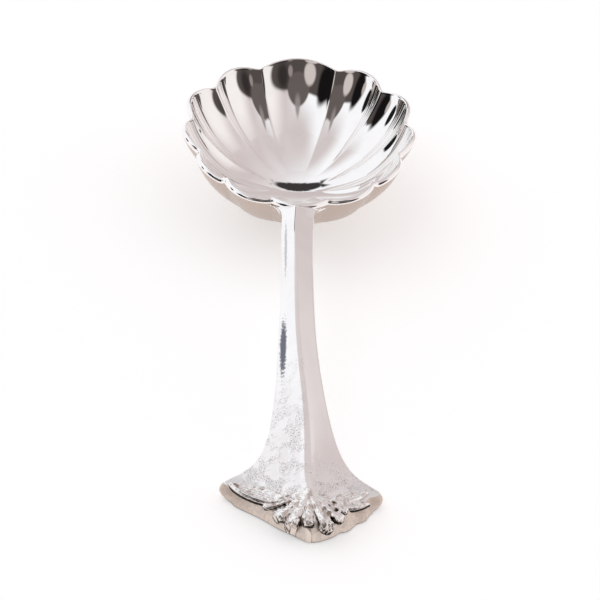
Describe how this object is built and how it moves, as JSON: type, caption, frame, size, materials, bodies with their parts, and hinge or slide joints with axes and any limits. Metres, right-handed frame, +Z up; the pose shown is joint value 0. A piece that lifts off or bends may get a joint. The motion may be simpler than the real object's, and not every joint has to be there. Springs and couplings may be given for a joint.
{
  "type": "sugar spoon",
  "caption": "Sugar spoon with a fluted shell bowl, a keeled handle that spreads into a fan, and a cast palmette with two leaves on its end.",
  "frame": {"origin": "on the table, at the centre of the small flat under the bowl", "axes": "+Y out over the bowl's front petal, the handle along -Y, +Z up out of the bowl, +X to the right seen from the handle"},
  "size_m": [0.0468, 0.1246, 0.0168],
  "materials": {
    "bowl": "polished silver plate",
    "solder": "hard silver solder, plated over and polished",
    "handle": "polished silver plate over a casting, lightly grained on the fan",
    "ornament": "silver plated casting, as cast in its hollows"
  },
  "bodies": {
    "root": {"bowl": "bowl", "bowl_solder": "solder", "handle": "handle", "end_ornament": "ornament"}
  },
  "joints": []
}
